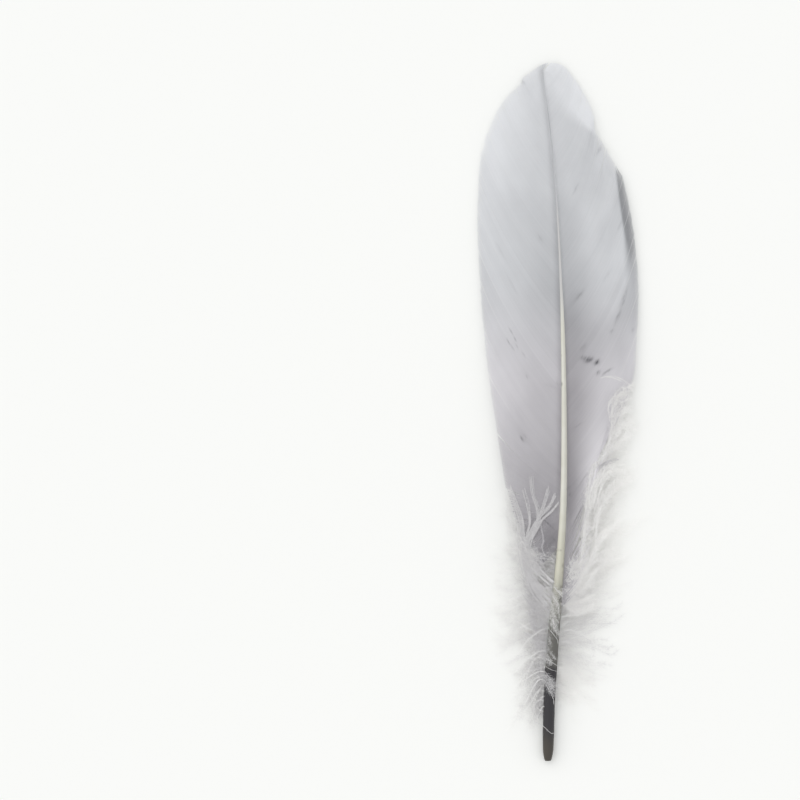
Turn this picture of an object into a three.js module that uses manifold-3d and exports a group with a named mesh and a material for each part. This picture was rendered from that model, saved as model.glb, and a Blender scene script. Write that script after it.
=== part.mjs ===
// A goose quill feather lying on a flat surface, outer face up: the shaft, a vane on each side
// and the down below the vanes. Millimetres, +Z up, the tip towards +Y.
// Inside the feather, x and y are measured from the middle of the cut quill end.
import * as THREE from "three";
import { mergeVertices } from "three/addons/utils/BufferGeometryUtils.js";
import Module from "manifold-3d";

const wasm = await Module();
wasm.setup();

// Driving dimensions
const featherLength = 170;
const shaftLength = 168;
const shaftSides = 12;
const shaftSteps = 34;
const vaneThicknessAtShaft = 0.55;
const vaneThicknessAtEdge = 0.24;
const vaneColumns = 6;
const vaneRowStep = 3.6;
const gap = 0.15;
const camberPower = 1.7;
const edgeHeight = 0.14;
const locksPerSide = 22;
const lockSides = 6;
const lockSteps = 6;
const lockHalfWidth = 1.2;
const lockHalfHeight = 0.42;
const lockTipHeight = 0.5;
const tipCrowding = 1.25;
const rootRadius = 0.36;
const rootSteps = 22;
const finestDetail = 0.02;

// Each list runs along the feather as [y, value] and is read as one smooth line.
const shaftMiddle = [
  [0, -0.25],
  [15, 0.1],
  [27, 0.8],
  [40, 1.9],
  [51, 2.8],
  [65, 3.5],
  [85, 3.6],
  [102, 3.35],
  [119.5, 2.7],
  [136.5, 1.8],
  [151.5, 0.5],
  [168, -1.5],
];
const shaftWidth = [
  [0, 1.7],
  [3, 2.5],
  [15, 2.6],
  [24, 2.85],
  [34, 2.75],
  [45, 2.2],
  [52, 1.9],
  [66, 1.6],
  [84, 1.35],
  [102, 1.1],
  [124, 0.66],
  [168, 0.26],
];
const shaftHeight = [
  [0, 1.35],
  [12, 1.6],
  [30, 2.8],
  [50, 3.9],
  [75, 4.6],
  [105, 4.5],
  [130, 3.6],
  [150, 2.2],
  [168, 0.62],
];
// How far from the shaft the curved face of the feather comes down to the surface.
const camberReach = [
  [0, 20.5],
  [130, 20.5],
  [150, 17.2],
  [160, 12.8],
  [166, 9.2],
  [170, 6.5],
];

// Edges of the vanes as stretches of [y, x]. The outline has a corner where one stretch ends.
const leftEdge = [
  [
    [55, -6.4],
    [62, -8.4],
    [72.7, -11.1],
    [80, -12.6],
    [98, -15.2],
    [117, -16.8],
    [131, -17.4],
    [147, -16.5],
    [156, -13.7],
    [161.2, -10.5],
    [164.9, -6.8],
  ],
  [
    [166.4, -6.4],
    [168, -4],
    [169.35, -1.9],
  ],
];
const leftVaneFoot = [
  [55, -4.6],
  [61.5, 2.3],
];
const rightEdge = [
  [
    [39.2, 3.9],
    [45, 8.1],
    [57, 8.7],
    [68, 9.9],
    [71.5, 10.8],
    [76, 14.6],
    [82, 15.4],
    [88, 17.3],
    [91.9, 20.7],
    [100, 21.5],
    [117, 22],
    [131.4, 20.4],
    [139.2, 18.8],
    [143, 17.8],
  ],
  [
    [143.6, 16.9],
    [150.4, 13],
    [153, 11.4],
  ],
  [
    [154.6, 11],
    [157.5, 10.7],
    [161.2, 9.2],
    [165.5, 6.3],
    [168.3, 4.4],
    [169.6, 2.3],
    [170, 1],
  ],
];
const rightVaneCrown = [
  [169.2, -1.5],
  [170, 0.4],
];

// Where the down grows from: along the shaft, then along the lower margin of the vane.
const leftDownRoot = [
  [14, -1.9],
  [24, -1.45],
  [34, -0.65],
  [44, 0.4],
  [50.5, 0.9],
  [52.6, -3.2],
  [53.2, -7.2],
  [61, -9.3],
  [71.5, -12],
];
const rightDownRoot = [
  [17, 2.05],
  [28, 2.9],
  [37.2, 4.1],
  [43.4, 8.6],
  [56.5, 9.4],
  [67, 10.6],
  [70.8, 12.2],
  [75, 15.1],
  [81.6, 16.2],
  [87, 18.2],
  [90.6, 21],
];
// How far out of the middle the down reaches, by the height at which a lock ends.
const leftDownReach = [
  [8, -4.2],
  [20, -9.5],
  [38, -14],
  [60, -15.5],
  [78, -14.2],
];
const rightDownReach = [
  [12, 6.5],
  [24, 13],
  [39, 18.4],
  [55, 21.8],
  [90, 22.2],
];

// A cubic line through [y, value] points, straight on beyond its ends.
function smoothLine(points) {
  const slope = (i) => {
    const before = points[Math.max(i - 1, 0)];
    const after = points[Math.min(i + 1, points.length - 1)];
    return (after[1] - before[1]) / (after[0] - before[0]);
  };
  return (y) => {
    const last = points.length - 2;
    const found = points.findIndex((point, i) => i > 0 && y <= point[0]) - 1;
    const i = found < 0 ? last : found;
    const [y0, v0] = points[i];
    const [y1, v1] = points[i + 1];
    const span = y1 - y0;
    const t = THREE.MathUtils.clamp((y - y0) / span, 0, 1);
    const rise = (2 * t - 3) * t * t;
    return (
      v0 * (1 + rise) -
      v1 * rise +
      slope(i) * span * t * (1 - t) * (1 - t) -
      slope(i + 1) * span * t * t * (1 - t)
    );
  };
}

// A line made of stretches, with a straight jump from each stretch to the next.
function brokenLine(stretches) {
  const lines = stretches.map(smoothLine);
  return (y) => {
    const at = stretches.findIndex((points) => y <= points.at(-1)[0]);
    const i = at < 0 ? stretches.length - 1 : at;
    const start = stretches[i][0];
    if (i === 0 || y >= start[0]) return lines[i](y);
    const end = stretches[i - 1].at(-1);
    return THREE.MathUtils.mapLinear(y, end[0], start[0], end[1], start[1]);
  };
}

const middleAt = smoothLine(shaftMiddle);
const widthAt = smoothLine(shaftWidth);
const heightAt = smoothLine(shaftHeight);
const reachAt = smoothLine(camberReach);

// The face of the feather: highest at the shaft, curving down to the surface at its edges.
function faceHeight(x, y) {
  const away = Math.min(Math.abs(x - middleAt(y)) / reachAt(y), 1);
  const lift = heightAt(y) - edgeHeight;
  return edgeHeight + lift * (1 - away ** camberPower);
}

// The y of every row: each corner of the outline, and even steps in between.
function rowsThrough(stops, step) {
  const rows = [stops[0]];
  stops.slice(1).forEach((stop, i) => {
    const span = stop - stops[i];
    const count = Math.max(1, Math.round(span / step));
    for (let n = 1; n <= count; n += 1) rows.push(stops[i] + (span * n) / count);
  });
  return rows;
}

// Moves every vertex of a box or cylinder geometry to where place(x, y, z) puts it.
function reshape(geometry, place) {
  const position = geometry.getAttribute("position");
  const vertex = new THREE.Vector3();
  for (let i = 0; i < position.count; i += 1) {
    vertex.fromBufferAttribute(position, i);
    position.setXYZ(i, ...place(vertex.x, vertex.y, vertex.z));
  }
  return geometry;
}

function closedSolid(geometry) {
  const bare = geometry.clone();
  bare.deleteAttribute("normal");
  bare.deleteAttribute("uv");
  const merged = mergeVertices(bare, 1e-4);
  return new wasm.Manifold(
    new wasm.Mesh({
      numProp: 3,
      vertProperties: merged.getAttribute("position").array,
      triVerts: new Uint32Array(merged.index.array),
    }),
  );
}

function geometryOf(solid) {
  const mesh = solid.getMesh();
  const geometry = new THREE.BufferGeometry();
  geometry.setAttribute(
    "position",
    new THREE.BufferAttribute(mesh.vertProperties, 3),
  );
  geometry.setIndex(new THREE.BufferAttribute(mesh.triVerts, 1));
  geometry.computeVertexNormals();
  return geometry;
}

// A tube along a curve whose half width and half height are read at each step.
function taperedTube(curve, sizeAt, sides, steps) {
  const tube = new THREE.CylinderGeometry(1, 1, 1, sides, steps);
  const up = new THREE.Vector3(0, 0, 1);
  return reshape(tube, (across, along, over) => {
    const t = along + 0.5;
    const centre = curve.getPoint(t);
    const ahead = curve.getTangent(t);
    const side = new THREE.Vector3().crossVectors(ahead, up).normalize();
    const top = new THREE.Vector3().crossVectors(side, ahead);
    const [halfWidth, halfHeight] = sizeAt(t);
    centre.addScaledVector(side, across * halfWidth);
    centre.addScaledVector(top, over * halfHeight);
    return centre.toArray();
  });
}

class ShaftLine extends THREE.Curve {
  getPoint(t, target = new THREE.Vector3()) {
    const y = t * shaftLength;
    return target.set(middleAt(y), y, heightAt(y));
  }
}

function shaftSolid() {
  const sizeAt = (t) => {
    const half = widthAt(t * shaftLength) / 2;
    return [half, half];
  };
  return taperedTube(new ShaftLine(), sizeAt, shaftSides, shaftSteps);
}

// A vane is a curved plate from its inner line to its outer edge, thinner outwards.
function vaneSolid(rows, xFrom, xTo, innerIsFirst) {
  const plate = new THREE.BoxGeometry(1, 1, 1, vaneColumns, rows.length - 1, 1);
  return reshape(plate, (u, v, w) => {
    const y = rows[Math.round((v + 0.5) * (rows.length - 1))];
    const x = THREE.MathUtils.lerp(xFrom(y), xTo(y), u + 0.5);
    const outwards = innerIsFirst ? u + 0.5 : 0.5 - u;
    const thickness = THREE.MathUtils.lerp(
      vaneThicknessAtShaft,
      vaneThicknessAtEdge,
      outwards,
    );
    return [x, y, Math.max(faceHeight(x, y) + w * thickness, 0.02 * (w + 0.5))];
  });
}

function leftVane() {
  const edgeAt = brokenLine(leftEdge);
  const footAt = smoothLine(leftVaneFoot);
  const footTop = leftVaneFoot.at(-1)[0];
  const innerAt = (y) =>
    y < footTop ? footAt(y) : middleAt(y) - widthAt(y) / 2 - gap;
  const stops = [
    leftEdge[0][0][0],
    footTop,
    leftEdge[0].at(-1)[0],
    leftEdge[1][0][0],
    leftEdge[1].at(-1)[0],
  ];
  return vaneSolid(rowsThrough(stops, vaneRowStep), edgeAt, innerAt, false);
}

function rightVane() {
  const edgeAt = brokenLine(rightEdge);
  const crownAt = smoothLine(rightVaneCrown);
  const crownStart = rightVaneCrown[0][0];
  const innerAt = (y) =>
    y > crownStart ? crownAt(y) : middleAt(y) + widthAt(y) / 2 + gap;
  const stops = [
    rightEdge[0][0][0],
    rightEdge[0][1][0],
    71.5,
    76,
    88,
    91.9,
    rightEdge[0].at(-1)[0],
    rightEdge[1][0][0],
    rightEdge[1].at(-1)[0],
    rightEdge[2][0][0],
    rightEdge[2][3][0],
    rightEdge[2][4][0],
    crownStart,
    featherLength,
  ];
  return vaneSolid(rowsThrough(stops, vaneRowStep), innerAt, edgeAt, true);
}

// Locks of down grow from a thin root line, swell in the middle and end in a point.
function downSolid(rootPoints, reachPoints, outward) {
  const rootCurve = new THREE.CatmullRomCurve3(
    rootPoints.map(([y, x]) => new THREE.Vector3(x, y, faceHeight(x, y))),
    false,
    "centripetal",
  );
  const root = taperedTube(
    rootCurve,
    () => [rootRadius, rootRadius],
    lockSides,
    rootSteps,
  );
  const downReachAt = smoothLine(reachPoints);
  const lowestTip = reachPoints[0][0];
  const highestTip = reachPoints.at(-1)[0];
  let down = closedSolid(root);
  for (let n = 0; n < locksPerSide; n += 1) {
    const share = n / (locksPerSide - 1);
    const start = rootCurve.getPointAt(THREE.MathUtils.lerp(0.01, 0.99, share));
    const sway = Math.sin(n * 2.4);
    const tipY =
      THREE.MathUtils.lerp(lowestTip, highestTip, share ** tipCrowding) + sway;
    const tipX = downReachAt(tipY) - outward * 0.7 * (1 + Math.cos(n * 1.7));
    const tip = new THREE.Vector3(tipX, tipY, lockTipHeight);
    const bend = new THREE.Vector3().lerpVectors(start, tip, 0.5);
    bend.y += 1.6 * sway + 1.5;
    bend.z = Math.max((start.z + tip.z) / 2 + 0.5, lockHalfHeight + 0.2);
    const lockCurve = new THREE.QuadraticBezierCurve3(start, bend, tip);
    const sizeAt = (t) => {
      const swell = 0.4 + 0.6 * Math.sin(Math.PI * Math.min(t * 1.3, 1) * 0.5);
      const taper = 1 - 0.88 * t ** 3;
      return [lockHalfWidth * swell * taper, lockHalfHeight * swell * taper];
    };
    down = down.add(closedSolid(taperedTube(lockCurve, sizeAt, lockSides, lockSteps)));
  }
  return geometryOf(down.simplify(finestDetail));
}

function piece(name, geometry, colour, roughness) {
  const material = new THREE.MeshStandardMaterial({
    color: colour,
    roughness,
    metalness: 0,
  });
  const mesh = new THREE.Mesh(geometry, material);
  mesh.name = name;
  return mesh;
}

const vaneColour = 0xc3c4c8;
const downColour = 0xe2e1df;
const feather = new THREE.Group();
feather.add(
  piece("shaft", shaftSolid(), 0xdcdacb, 0.45),
  piece("left_vane", leftVane(), vaneColour, 0.8),
  piece("right_vane", rightVane(), vaneColour, 0.8),
  piece("left_down", downSolid(leftDownRoot, leftDownReach, -1), downColour, 0.95),
  piece("right_down", downSolid(rightDownRoot, rightDownReach, 1), downColour, 0.95),
);

// The origin is on the surface, below the middle of the whole feather.
const box = new THREE.Box3().setFromObject(feather, true);
const middle = box.getCenter(new THREE.Vector3());
feather.position.set(-middle.x, -middle.y, -box.min.z);

export default feather;
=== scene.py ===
# A grey goose quill feather lying on a pale surface, outer face up.
# Shapes are worked out in millimetres from the quill end, then moved to the frame in metres.
import math

import bpy
import numpy as np
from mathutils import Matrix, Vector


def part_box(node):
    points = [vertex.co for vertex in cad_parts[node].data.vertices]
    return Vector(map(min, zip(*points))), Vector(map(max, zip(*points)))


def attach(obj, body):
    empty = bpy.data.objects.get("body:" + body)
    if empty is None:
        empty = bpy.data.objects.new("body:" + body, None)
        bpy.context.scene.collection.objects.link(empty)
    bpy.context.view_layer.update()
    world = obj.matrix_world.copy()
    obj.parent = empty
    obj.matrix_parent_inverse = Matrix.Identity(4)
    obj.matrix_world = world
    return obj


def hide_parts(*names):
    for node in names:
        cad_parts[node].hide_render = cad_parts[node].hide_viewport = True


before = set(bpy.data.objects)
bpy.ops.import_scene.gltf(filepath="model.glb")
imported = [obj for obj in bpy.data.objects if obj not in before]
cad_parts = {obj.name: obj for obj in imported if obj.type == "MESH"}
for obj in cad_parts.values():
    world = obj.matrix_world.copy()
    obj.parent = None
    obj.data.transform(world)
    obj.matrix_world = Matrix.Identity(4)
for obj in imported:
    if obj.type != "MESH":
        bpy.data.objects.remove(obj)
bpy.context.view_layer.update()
dice = np.random.default_rng(2417)

# the middle of the quill end, and how far the shaft's tip leans out to the left of it
tipLean = 1.63
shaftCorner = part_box("shaft")[0]
quillEnd = np.array([shaftCorner[0] * 1000 + tipLean, shaftCorner[1] * 1000, 0])


def smoothLine(stops):
    # a cubic line through [y, value] stops, level beyond its ends
    at, value = (np.array(column, float) for column in zip(*stops))
    slope = np.gradient(value)
    slope[1:-1] = (value[2:] - value[:-2]) / (at[2:] - at[:-2])
    slope[0] = (value[1] - value[0]) / (at[1] - at[0])
    slope[-1] = (value[-1] - value[-2]) / (at[-1] - at[-2])

    def read(y):
        i = np.clip(np.searchsorted(at, y) - 1, 0, len(at) - 2)
        span = at[i + 1] - at[i]
        t = np.clip((y - at[i]) / span, 0, 1)
        rise = (3 - 2 * t) * t * t
        bend = slope[i] * (1 - t) - slope[i + 1] * t
        return value[i] * (1 - rise) + value[i + 1] * rise + bend * span * t * (1 - t)

    return read


def brokenLine(*stretches):
    # one smooth line after another, with a corner between them
    lines = [smoothLine(stops) for stops in stretches]

    def read(y):
        found = lines[0](y)
        for before, stops, line in zip(stretches, stretches[1:], lines[1:]):
            (y0, x0), (y1, x1) = before[-1], stops[0]
            jump = x0 + (x1 - x0) * np.clip((y - y0) / (y1 - y0), 0, 1)
            found = np.where(y > y0, np.where(y > y1, line(y), jump), found)
        return found

    return read


def mix(a, b, t):
    return a + (b - a) * t


def fade(low, high, value):
    t = np.clip((value - low) / (high - low), 0, 1)
    return t * t * (3 - 2 * t)


def unit(v):
    return v / np.maximum(np.linalg.norm(v, axis=-1, keepdims=True), 1e-9)


shaftMiddle = smoothLine(
    [
        [0, -0.25], [15, 0.1], [27, 0.8], [40, 1.9], [51, 2.8], [65, 3.5], [85, 3.6],
        [102, 3.35], [119.5, 2.7], [136.5, 1.8], [151.5, 0.5], [168, -1.5],
    ]
)
shaftWidth = smoothLine(
    [
        [0, 1.7], [3, 2.6], [12, 2.78], [24, 2.9], [34, 2.75], [45, 2.2], [52, 1.9],
        [66, 1.6], [84, 1.35], [102, 1.1], [124, 0.66], [168, 0.26],
    ]
)
shaftHeight = smoothLine(
    [
        [0, 1.35], [12, 1.6], [30, 2.8], [50, 3.9], [75, 4.6], [105, 4.5], [130, 3.6],
        [150, 2.2], [168, 0.62],
    ]
)
camberReach = smoothLine([[0, 20.5], [130, 20.5], [150, 17.2], [160, 12.8], [166, 9.2], [170, 6.5]])
camber = {"power": 1.7, "edge": 0.14}


def faceHeight(x, y):
    # highest at the shaft, down to the surface at the edges
    away = np.minimum(np.abs(x - shaftMiddle(y)) / camberReach(y), 1)
    return camber["edge"] + (shaftHeight(y) - camber["edge"]) * (1 - away ** camber["power"])


def stripFaces(strips, rows, columns):
    # quads of many strips, each a grid of rows by columns
    corner = np.arange(rows - 1)[:, None] * columns + np.arange(columns - 1)
    quad = np.stack([corner, corner + 1, corner + columns + 1, corner + columns], -1)
    start = np.arange(strips)[:, None, None, None] * rows * columns
    return (quad + start).reshape(-1, 4)


def meshPiece(name, points, faces, material, attributes, barbMap=None):
    mesh = bpy.data.meshes.new(name)
    place = (points.reshape(-1, 3) + quillEnd) / 1000
    mesh.vertices.add(len(place))
    mesh.vertices.foreach_set("co", place.ravel())
    mesh.loops.add(faces.size)
    mesh.loops.foreach_set("vertex_index", faces.ravel())
    mesh.polygons.add(len(faces))
    mesh.polygons.foreach_set("loop_start", np.arange(len(faces)) * faces.shape[1])
    mesh.polygons.foreach_set("use_smooth", np.ones(len(faces), bool))
    mesh.update(calc_edges=True)
    mesh.validate()
    low, high = place.min(0), place.max(0)
    flat = (place[:, :2] - low[:2]) / (high[:2] - low[:2])
    maps = {"OFBake": flat}
    if barbMap is not None:
        maps["barbs"] = barbMap
    for mapName, spots in maps.items():
        layer = mesh.uv_layers.new(name=mapName)
        layer.data.foreach_set("uv", spots[faces.ravel()].astype(np.float32).ravel())
    for attributeName, values in attributes.items():
        layer = mesh.attributes.new(attributeName, "FLOAT", "POINT")
        layer.data.foreach_set("value", np.asarray(values, np.float32).ravel())
    mesh.materials.append(material)
    piece = bpy.data.objects.new(name, mesh)
    bpy.context.scene.collection.objects.link(piece)
    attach(piece, "root")
    print(name, len(faces), "faces")
    return piece


class Wire:
    # a socket that adds Math nodes when it is used in an expression

    def __init__(self, tree, socket):
        self.tree = tree
        self.socket = socket

    def maths(self, operation, *values):
        return addNode(self.tree, "ShaderNodeMath", {"operation": operation}, dict(enumerate(values)))

    def __add__(self, other):
        return self.maths("ADD", self, other)

    def __radd__(self, other):
        return self.maths("ADD", other, self)

    def __sub__(self, other):
        return self.maths("SUBTRACT", self, other)

    def __rsub__(self, other):
        return self.maths("SUBTRACT", other, self)

    def __mul__(self, other):
        return self.maths("MULTIPLY", self, other)

    def __rmul__(self, other):
        return self.maths("MULTIPLY", other, self)

    def clamped(self):
        return self.maths("MINIMUM", self.maths("MAXIMUM", self, 0.0), 1.0)

    def between(self, low, high):
        # from 0 to 1 while the value goes from low to high
        settings = {"interpolation_type": "SMOOTHSTEP"}
        inputs = {"Value": self, "From Min": low, "From Max": high}
        return addNode(self.tree, "ShaderNodeMapRange", settings, inputs)


def addNode(tree, kind, settings, inputs, output=0):
    node = tree.nodes.new(kind)
    for key, value in settings.items():
        setattr(node, key, value)
    for key, value in inputs.items():
        if isinstance(value, Wire):
            tree.links.new(value.socket, node.inputs[key])
        else:
            node.inputs[key].default_value = value
    return Wire(tree, node.outputs[output]) if node.outputs else node


def newMaterial(name):
    material = bpy.data.materials.new(name)
    material.use_nodes = True
    material.node_tree.nodes.clear()
    return material, material.node_tree


def finishMaterial(tree, surface):
    addNode(tree, "ShaderNodeOutputMaterial", {}, {"Surface": surface})


def attributeWire(tree, name):
    return addNode(tree, "ShaderNodeAttribute", {"attribute_name": name}, {}, "Fac")


def objectPlace(tree):
    return addNode(tree, "ShaderNodeTexCoord", {}, {}, "Object")


def noise(tree, place, scale, detail):
    inputs = {"Vector": place, "Scale": scale, "Detail": detail}
    return addNode(tree, "ShaderNodeTexNoise", {}, inputs, "Fac")


def mixColour(tree, factor, a, b):
    inputs = {"Factor": factor, 6: a, 7: b}  # 6 and 7 are the colour sockets
    return addNode(tree, "ShaderNodeMix", {"data_type": "RGBA"}, inputs, 2)


def bumpWire(tree, look, height):
    inputs = {"Strength": look["bump"], "Distance": look["bumpDepth"], "Height": height}
    return addNode(tree, "ShaderNodeBump", {}, inputs)


def bodyWire(tree, look, inputs):
    steady = {"Roughness": look["roughness"], "Specular IOR Level": look["specular"]}
    return addNode(tree, "ShaderNodeBsdfPrincipled", {}, {**steady, **inputs})


def letThrough(tree, look, body, inputs):
    # part of the light goes through the barbs
    through = addNode(tree, "ShaderNodeBsdfTranslucent", {}, {"Color": look["through"], **inputs})
    return addNode(tree, "ShaderNodeMixShader", {}, {0: look["translucency"], 1: body, 2: through})


def colour(r, g, b):
    # screen values from 0 to 255 as linear light
    def linear(c):
        c = c / 255
        return c / 12.92 if c <= 0.04045 else ((c + 0.055) / 1.055) ** 2.4

    return (linear(r), linear(g), linear(b), 1.0)


vaneLook = {
    "pale": colour(248, 249, 251),
    "paleLow": colour(250, 247, 250),
    "deep": colour(149, 150, 153),
    "deepLow": colour(150, 146, 150),
    "stainAndShade": colour(66, 64, 70),
    "through": colour(236, 236, 239),
    "translucency": 0.3,
    "roughness": 0.72,
    "specular": 0.25,
    "sheen": 0.15,
    "bump": 0.25,
    "bumpDepth": 0.00004,
    # how fine each pattern is along the barbs and across them, and its detail
    "streaks": {
        "fine": (3.0, 297.0, 1.0),
        "bands": (1.6, 46.0, 2.0),
        "broad": (2.4, 11.0, 2.0),
        "strokes": (22.0, 198.0, 1.0),
        "barbules": (70.0, 561.0, 0.0),
    },
    "clouds": (90.0, 3.0),  # scale, detail
    # how much each pattern changes the tone
    "shares": {"fine": 0.06, "bands": 0.07, "broad": 0.16, "clouds": 0.2},
    # how hard the strokes in the smudges of dye and painted shade are, and how wide the gaps between
    # them
    "strokeGain": 2.4,
    "strokeGaps": 0.3,
    "barbuleShare": 0.35,
}


def vaneMaterial(name):
    look = vaneLook
    shares = look["shares"]
    material, tree = newMaterial(name)
    barbMap = addNode(tree, "ShaderNodeUVMap", {"uv_map": "barbs"}, {}, "UV")
    along = addNode(tree, "ShaderNodeSeparateXYZ", {}, {"Vector": barbMap}, 0)
    row = addNode(tree, "ShaderNodeSeparateXYZ", {}, {"Vector": barbMap}, 1)

    def streaks(kind):
        alongScale, rowScale, detail = look["streaks"][kind]
        place = addNode(tree, "ShaderNodeCombineXYZ", {}, {"X": along * alongScale, "Y": row * rowScale})
        return noise(tree, place, 1.0, detail)

    fine = streaks("fine")
    clouds = noise(tree, objectPlace(tree), *look["clouds"])
    patches = (clouds - 0.5) * shares["clouds"] + (streaks("broad") - 0.5) * shares["broad"]
    lines = (fine - 0.5) * shares["fine"] + (streaks("bands") - 0.5) * shares["bands"]
    level = (attributeWire(tree, "tone") + patches + lines).clamped()
    # the lower half is a little warmer
    lilac = attributeWire(tree, "lilac")
    pale = mixColour(tree, lilac, look["pale"], look["paleLow"])
    deep = mixColour(tree, lilac, look["deep"], look["deepLow"])
    base = mixColour(tree, level, deep, pale)
    # smudges of dye and painted shade break up into short strokes along the barbs
    strokes = streaks("strokes") * look["strokeGain"] - look["strokeGaps"]
    smudgeAndShade = attributeWire(tree, "stainAndShade") * strokes
    base = mixColour(tree, smudgeAndShade.clamped(), base, look["stainAndShade"])
    # painted shade from the shade attribute, in the same dark colour as the smudges
    base = mixColour(tree, attributeWire(tree, "shade"), base, look["stainAndShade"])
    share = look["barbuleShare"]
    bump = bumpWire(tree, look, streaks("barbules") * share + fine * (1 - share))
    inputs = {"Base Color": base, "Sheen Weight": look["sheen"], "Normal": bump}
    body = bodyWire(tree, look, inputs)
    finishMaterial(tree, letThrough(tree, look, body, {"Normal": bump}))
    return material


downLook = {
    "pale": colour(254, 253, 251),
    "deep": colour(203, 201, 203),
    "through": colour(244, 243, 242),
    "translucency": 0.2,
    "roughness": 0.85,
    "specular": 0.15,
    "clouds": (420.0, 3.0),
    "cloudShare": 0.25,
}


def downMaterial(name):
    look = downLook
    material, tree = newMaterial(name)
    clouds = noise(tree, objectPlace(tree), *look["clouds"])
    level = (attributeWire(tree, "tone") + (clouds - 0.5) * look["cloudShare"]).clamped()
    base = mixColour(tree, level, look["deep"], look["pale"])
    body = bodyWire(tree, look, {"Base Color": base})
    finishMaterial(tree, letThrough(tree, look, body, {}))
    return material


shaftLook = {
    "end": colour(72, 67, 60),
    "dyeAndShade": colour(50, 48, 51),
    "halfDyed": colour(104, 103, 98),
    "greenish": colour(160, 159, 150),
    "lowHorn": colour(205, 203, 186),
    "hornShade": colour(202, 200, 184),
    "horn": colour(229, 228, 220),
    "upper": colour(194, 193, 192),
    "tip": colour(188, 188, 191),
    "lastPart": colour(214, 215, 217),
    # between which millimetres from the end each colour takes over from the one before
    "changes": [
        ["dyeAndShade", 2.0, 9.0], ["halfDyed", 21.5, 24.5], ["greenish", 30.0, 41.0], ["horn", 40.0, 47.0],
        ["upper", 102.0, 118.0], ["tip", 130.0, 138.0], ["lastPart", 157.0, 165.0],
    ],
    "lowHornFades": (48.0, 64.0),
    "roughness": 0.34,
    "grainRoughness": 0.2,
    "specular": 0.35,
    "bump": 0.35,
    "bumpDepth": 0.00008,
    "grain": (2600.0, 130.0, 2600.0),
    "blotches": 330.0,
    # by how many millimetres blotches and grain move a change of colour
    "waver": (3.0, 1.5),
    # how much each adds to the paleness of the horn, and what is taken off
    "shares": (0.6, 0.55, 0.05),
}


def shaftMaterial(name):
    look = shaftLook
    material, tree = newMaterial(name)
    place = objectPlace(tree)
    stretched = addNode(
        tree, "ShaderNodeVectorMath", {"operation": "MULTIPLY"}, {0: place, 1: look["grain"]}
    )
    grain = noise(tree, stretched, 1.0, 3.0)
    blotch = noise(tree, place, look["blotches"], 3.0)
    byBlotch, byGrain = look["waver"]
    wavy = attributeWire(tree, "along") + (blotch - 0.5) * byBlotch + (grain - 0.5) * byGrain
    blotches, grains, off = look["shares"]
    level = (grain * grains + blotch * blotches - off).clamped()
    horn = mixColour(tree, level, look["hornShade"], look["horn"])
    horn = mixColour(tree, wavy.between(*look["lowHornFades"]), look["lowHorn"], horn)
    base = look["end"]
    for part, low, high in look["changes"]:
        base = mixColour(tree, wavy.between(low, high), base, horn if part == "horn" else look[part])
    # the dark nicks and the painted shade on the right side take the dyed colour
    base = mixColour(tree, attributeWire(tree, "stainAndShade"), base, look["dyeAndShade"])
    inputs = {
        "Base Color": base,
        "Roughness": grain * look["grainRoughness"] + look["roughness"],
        "Normal": bumpWire(tree, look, grain),
    }
    finishMaterial(tree, bodyWire(tree, look, inputs))
    return material


shaftPlan = {
    "length": 168.0,
    "rings": 420,
    "sides": 28,
    # how many millimetres round off at each end, and the share of the width that is left
    "endRounding": (0.7, 0.8),
    "tipRounding": (1.5, 0.25),
    "dents": 0.018,
    "flatTop": 0.1,
    "ribs": 9,
    "ribHeight": 0.012,
    # heights over which dents, ribs and the flat top come or go
    "dentsEnd": (60, 20),
    "ribsStart": (30, 60),
    "flatStarts": (40, 60),
    # share of the width, depth
    "dimple": (0.35, 0.18),
    # painted shade on the right side, away from the light: how dark, how far across from -1 to 1, and
    # where it ends
    "sideShade": 0.2,
    "shadeAcross": (-0.4, 0.5),
    "shadeEnds": (112, 95),
    "nickWidth": 0.45,
    "nicks": [
        # y, where round the shaft from 0 at the left to 1 at the right, length, strength
        [51.5, 0.2, 0.2, 0.5], [51.35, 0.5, 0.14, 0.4], [51.6, 0.8, 0.2, 0.5], [91.7, 0.04, 0.5, 0.65],
        [66.3, 0.98, 0.4, 0.4], [79.6, 0.3, 0.16, 0.22], [72.4, 0.6, 0.18, 0.2], [60.4, 0.97, 0.4, 0.35],
        [98.5, 0.1, 0.2, 0.3], [104.4, 0.92, 0.2, 0.3], [45.9, 0.9, 0.5, 0.4], [49.2, 0.95, 0.3, 0.4],
        [47.6, 0.86, 1.0, 0.5], [39.3, 0.85, 1.3, 0.7], [42.3, 0.85, 0.6, 0.6],
    ],
}


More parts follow.
